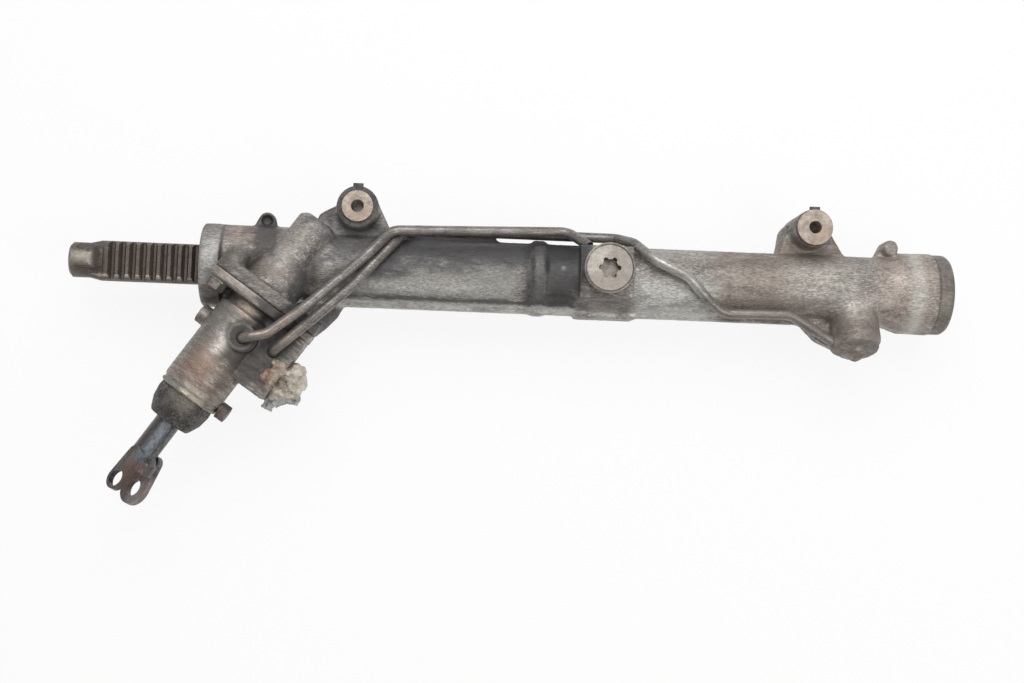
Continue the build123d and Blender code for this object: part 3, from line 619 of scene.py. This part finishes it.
# Mounting bushes: a flanged steel sleeve bonded in rubber inside a thin steel shell.
# They are pressed into the eyes, and the sleeve faces are stained cream and brown.
face_marks = [
    mark(3, -5, 8, 5, (150, 128, 106), 0.6, 4, 20),
    mark(370, -6, 8, 6, (160, 134, 112), 0.6, 4, 20)
]
sleeve_face = finish("stained sleeve steel", light=(192, 179, 165), dark=(136, 123, 111),
                     speck=(104, 84, 70), metal=0.25, rough=0.5, scale=210, specks=0.45, marks=face_marks)
dress(["left_bush_sleeve", "right_bush_sleeve"], sleeve_face)
bush_rubber = finish("weathered bush rubber", light=(96, 93, 90), dark=(60, 58, 57),
                     speck=(120, 114, 108), metal=0.0, rough=0.7, scale=160, specks=0.3)
dress(["left_bush_rubber", "right_bush_rubber"], bush_rubber)
shell_steel = finish("bush shell steel", light=(128, 120, 112), dark=(88, 80, 74), speck=(150, 142, 132),
                     metal=0.5, rough=0.5, scale=160)
dress(["left_bush_shell", "right_bush_shell"], shell_steel)

# Valve housing: an aluminium barrel turned to a smooth skin, with a cast flange and port block.
# Two bolts hold its flange to the tower, and a painted highlight runs bright down the middle of the barrel.
VALVE_VOXEL = 0.0008
VALVE_ROUNDS = 9
PINION_X = -53
PINION_Z = 18.66
LEAN_COS = 0.824
LEAN_SIN = 0.566
BARREL_RADIUS = 19.5
SEAL_END = 98
PORT_FACE = 37


def valve_cast(x, y, z):
    """Machined barrel and bores stay crisp, the flange and the port block are cast."""
    across = (x - PINION_X) * LEAN_COS - (y - RACK_Y) * LEAN_SIN
    along = -(x - PINION_X) * LEAN_SIN - (y - RACK_Y) * LEAN_COS
    from_axis = (across ** 2 + (z - PINION_Z) ** 2) ** 0.5
    return 0.15 if from_axis < BARREL_RADIUS or along > SEAL_END or z > PORT_FACE else 1.0


valve_skin = recast("valve_housing", "valve_housing_casting", VALVE_VOXEL, valve_cast, VALVE_ROUNDS)
valve_marks = [
    mark(-83, -67, 28, 4.5, (148, 140, 132), 0.85, 2, 12, PINION_LEAN),
    mark(-108, -98, 7, 26, (118, 115, 111), 0.8, 5, 40, PINION_LEAN),
    mark(-93, -94, 5, 16, (146, 142, 136), 0.7, 5, 30, PINION_LEAN),
    # painted highlight along the top of the barrel
    mark(-101, -117, 6, 13, (214, 208, 200), 0.95, 5, 40, PINION_LEAN),
    mark(-112, -130, 12, 14, (150, 124, 108), 0.85, 6, 50, PINION_LEAN),
    mark(-98, -141, 6, 20, (106, 92, 84), 0.7, 6, 40, PINION_LEAN),
    mark(-137, -145, 6, 5, (132, 136, 130), 0.8, 3, 20, PINION_LEAN),
    mark(-118, -153, 9, 4, (200, 192, 172), 0.9, 3, 20, PINION_LEAN),
    mark(-79, -86, 11, 6, (176, 160, 144), 0.8, 3, 16, PINION_LEAN),
    mark(-66, -112, 21, 30, (58, 56, 55), 0.97, 5, 20, PINION_LEAN),
    mark(-80, -136, 6, 9, (72, 68, 66), 0.9, 4, 16, PINION_LEAN),
    spot(-83.6, -107, 12.5, (70, 68, 66), 0.9, 2, 12),
    spot(-83.6, -107, 10.5, (122, 118, 112), 0.8, 0.6, 4, z=43, deep=3),
    spot(-83.6, -107, 8.6, (60, 57, 55), 0.9, 0.8, 4, z=43, deep=3),
    mark(-60, -88, 12, 12, (72, 69, 67), 0.85, 5, 20),
    mark(-88, -75, 26, 3, (74, 71, 68), 0.85, 3, 20, PINION_LEAN)
]
barrel_skin = finish("turned valve housing", light=(150, 141, 133), dark=(112, 105, 99),
                     speck=(190, 182, 172), metal=0.4, rough=0.42, scale=130, stretch=(0.35, 2.2, 0.6),
                     lean=PINION_LEAN, even=0.6, hollows=0.5, mottle=0.3, marks=valve_marks)
valve_skin.data.materials.clear()
valve_skin.data.materials.append(barrel_skin)
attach(valve_skin, "housing")
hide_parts("valve_housing")

# Flange bolts and the small side plug: zinc-plated steel gone dull and oily.
# The bolts screw into the tower, and the plug closes a cross drilling.
# painted highlight on the head of the bolt by the flange's left end
bolt_marks = [mark(-93, -62, 9, 9, (150, 146, 139), 0.7, 3, 20)]
bolt_steel = finish("oily bolt steel", light=(134, 129, 122), dark=(84, 80, 76), speck=(196, 190, 180),
                    metal=0.6, rough=0.4, scale=200, marks=bolt_marks)
dress(["flange_bolts"], bolt_steel)
side_plug_steel = finish("rusty plug steel", light=(112, 100, 94), dark=(76, 66, 62),
                         speck=(146, 134, 126), metal=0.5, rough=0.5, scale=200)
dress(["port_plug"], side_plug_steel)

# Input shaft: ground steel with a painted blue-grey sheen and highlight along its top, a brown streak, and the
# rusty fork of its joint.
# The rotor end runs in the valve sleeve, and the fork takes the steering column.
shaft_marks = [
    # along the top of the shaft: a blue-grey painted sheen, a brown streak beside it, and a painted highlight
    # streak inside the sheen
    mark(-142, -180, 3.2, 34, (112, 124, 134), 0.75, 3, 12, PINION_LEAN),
    mark(-146, -174, 1.6, 30, (86, 74, 68), 0.75, 2, 12, PINION_LEAN),
    mark(-137, -172, 1.8, 30, (164, 170, 176), 0.6, 2, 10, PINION_LEAN),
    mark(-164, -214, 9, 10, (112, 82, 70), 0.85, 5, 20, PINION_LEAN),
    mark(-172, -222, 8, 14, (98, 84, 76), 0.85, 4, 20, PINION_LEAN),
    mark(-156, -232, 9, 12, (150, 138, 132), 0.8, 4, 20, PINION_LEAN)
]
shaft_steel = finish("stained shaft steel with painted sheen", light=(112, 113, 115), dark=(72, 70, 70),
                     speck=(150, 136, 122), metal=0.65, rough=0.35, scale=150, stretch=(1, 0.25, 1),
                     lean=PINION_LEAN, even=0.7, marks=shaft_marks)
dress(["input_shaft"], shaft_steel)

# Dust cap: moulded rubber pushed over the end of the valve housing.
# Its rim is stretched over the barrel and dulled by road dirt.
cap_marks = [
    # a painted sheen band across the cap, then painted shade in the hollow at its left
    mark(-128, -158, 12, 6, (118, 112, 98), 0.6, 5, 30, PINION_LEAN),
    mark(-145, -160, 10, 8, (74, 72, 72), 0.7, 5, 30)
]
cap_rubber = finish("dusty cap rubber", light=(86, 81, 77), dark=(48, 46, 45), speck=(126, 118, 108),
                    metal=0.0, rough=0.6, scale=90, stretch=(1, 1, 1), even=0.6, mottle=0.3,
                    marks=cap_marks)
dress(["dust_cap"], cap_rubber)

# Hydraulic pipes: zinc-plated steel tube, bent cold and pushed into drilled sockets.
# The plating has gone grey-beige, with a bright rub where they cross the tube.
pipe_marks = [
    mark(250, -42, 26, 18, (196, 192, 188), 0.7, 8, 30),
    mark(110, -12, 60, 3, (150, 146, 144), 0.4, 3, 20),
    mark(-60, -100, 22, 14, (146, 132, 120), 0.6, 6, 30),
    mark(345, -72, 60, 12, (134, 124, 116), 0.7, 8, 30)
]
pipe_steel = finish("dull zinc pipe", light=(134, 129, 124), dark=(96, 92, 89), speck=(178, 172, 166),
                    metal=0.5, rough=0.36, scale=150, stretch=(0.35, 1, 1), grit=0.5, marks=pipe_marks)
dress(["short_pipe", "long_pipe"], pipe_steel)

# Cylinder plug: turned steel with a rolled rim and a six-lobed recess.
# It screws down on its seat over the cylinder wall.
PLUG_X = 198.4
PLUG_Y = -42.6
plug_marks = [
    spot(PLUG_X, PLUG_Y, 18.7, (70, 62, 56), 0.8, 0.4, 2, z=47, deep=2),
    spot(PLUG_X, PLUG_Y, 17.6, (164, 157, 149), 0.85, 0.4, 2, z=47, deep=2),
    # painted shade on the walls of the six-lobed recess
    spot(PLUG_X, PLUG_Y, 9, (48, 43, 40), 0.95, 0.3, 1, z=43, deep=3.2),
    mark(198, -42, 12, 12, (142, 130, 120), 0.6, 5, 30, z=47, deep=1),
    # painted highlight at the upper left of the plug's top
    mark(189, -38, 6, 9, (196, 190, 180), 0.6, 5, 30, z=47, deep=2),
    mark(198, -42, 30, 30, (128, 120, 112), 0.7, 1, 4, z=37, deep=6)
]
plug_steel = finish("satin plug steel", light=(166, 160, 152), dark=(112, 105, 98), speck=(206, 202, 196),
                    metal=0.5, rough=0.36, scale=170, even=0.6, marks=plug_marks)
dress(["cylinder_plug"], plug_steel)

# Transport stopper: a wad of thin clear film pushed into the open feed port.
# It is crumpled by hand, stained with oil and rust, and shreds of it hang out.
FILM_PLACE = (
    (-0.0455, -0.134, 0.020, 0.0105), (-0.0455, -0.146, 0.019, 0.0080),
    (-0.051, -0.1235, 0.020, 0.0070), (-0.0565, -0.141, 0.020, 0.0085),
    (-0.0400, -0.139, 0.019, 0.0070), (-0.0545, -0.1265, 0.0300, 0.0070),
    (-0.0610, -0.1370, 0.0310, 0.0075), (-0.0560, -0.1480, 0.0240, 0.0070),
    (-0.0530, -0.1330, 0.0290, 0.0075)
)
FILM_VOXEL = 0.0007
FINE_VOXEL = 0.0006
FOLD_SIZE = 0.009
CREASE_SIZE = 0.0075
WRINKLE_SIZE = 0.0032
wads = []
for x, y, z, radius in FILM_PLACE:
    bpy.ops.object.select_all(action="DESELECT")
    bpy.ops.mesh.primitive_ico_sphere_add(subdivisions=3, radius=radius, location=(x, y, z))
    wads.append(bpy.context.object)
    bpy.ops.object.transform_apply(location=True, rotation=True, scale=True)
film = wads[0]
work_on(film)
for wad in wads[1:]:
    wad.select_set(True)
bpy.ops.object.join()
film.name = "film_wad"
applied(film, "REMESH", mode="VOXEL", voxel_size=FILM_VOXEL)
applied(film, "DISPLACE", texture=lumps("film folds", FOLD_SIZE), strength=0.010, mid_level=0.5,
        texture_coords="LOCAL")
applied(film, "DISPLACE", texture=lumps("film creases", CREASE_SIZE, "VORONOI"), strength=-0.005,
        mid_level=0.4, texture_coords="LOCAL")
applied(film, "SMOOTH", factor=0.5, iterations=2)
applied(film, "REMESH", mode="VOXEL", voxel_size=FINE_VOXEL)
applied(film, "DISPLACE", texture=lumps("film wrinkles", WRINKLE_SIZE), strength=0.0014, mid_level=0.5,
        texture_coords="LOCAL")
bpy.ops.object.shade_smooth()
film_marks = [
    mark(-62, -136, 7, 8, (128, 78, 56), 0.6, 5, 60),
    mark(-40, -138, 8, 12, (216, 208, 198), 0.7, 5, 40),
    mark(-50, -153, 12, 6, (196, 192, 182), 0.6, 4, 40)
]
film_skin = finish("crumpled film", light=(182, 170, 156), dark=(136, 122, 108), speck=(124, 78, 58),
                   metal=0.0, rough=0.25, scale=200, specks=0.25, bump=0.4, depth=0.001, hollows=0.5,
                   marks=film_marks)
film.data.materials.append(film_skin)
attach(film, "housing")
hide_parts("port_stopper")

# Torn shreds of the same film that hang from the wad: place, half width, half length and turn.
FILM_THICK = 0.0004
SHREDS = ((-0.0615, -0.1545, 0.016, 0.0045, 0.0085, 28), (-0.0555, -0.1525, 0.018, 0.0050, 0.0065, -20),
          (-0.0440, -0.1535, 0.015, 0.0050, 0.0040, 8))
torn = []
for x, y, z, half_wide, half_long, turn in SHREDS:
    bpy.ops.object.select_all(action="DESELECT")
    bpy.ops.mesh.primitive_grid_add(x_subdivisions=14, y_subdivisions=18, size=2, location=(x, y, z),
                                    rotation=(0.35, 0.2, radians(-turn)))
    shred = bpy.context.object
    shred.scale = (half_wide, half_long, 1)
    bpy.ops.object.transform_apply(location=True, rotation=True, scale=True)
    torn.append(shred)
shreds = torn[0]
work_on(shreds)
for shred in torn[1:]:
    shred.select_set(True)
bpy.ops.object.join()
shreds.name = "film_shreds"
RUFFLES = (("shred folds", 0.006, 0.010, "Z"), ("shred edges", 0.004, 0.006, "X"))
for label, size, strength, direction in RUFFLES:
    applied(shreds, "DISPLACE", texture=lumps(label, size), strength=strength, mid_level=0.5,
            direction=direction, texture_coords="LOCAL")
applied(shreds, "SOLIDIFY", thickness=FILM_THICK, offset=0.0)
work_on(shreds)
bpy.ops.object.shade_smooth()
shred_skin = finish("pale film shreds", light=(206, 206, 202), dark=(158, 158, 154),
                    speck=(184, 170, 150), metal=0.0, rough=0.3, scale=230, specks=0.3, bump=0.4)
shreds.data.materials.append(shred_skin)
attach(shreds, "housing")
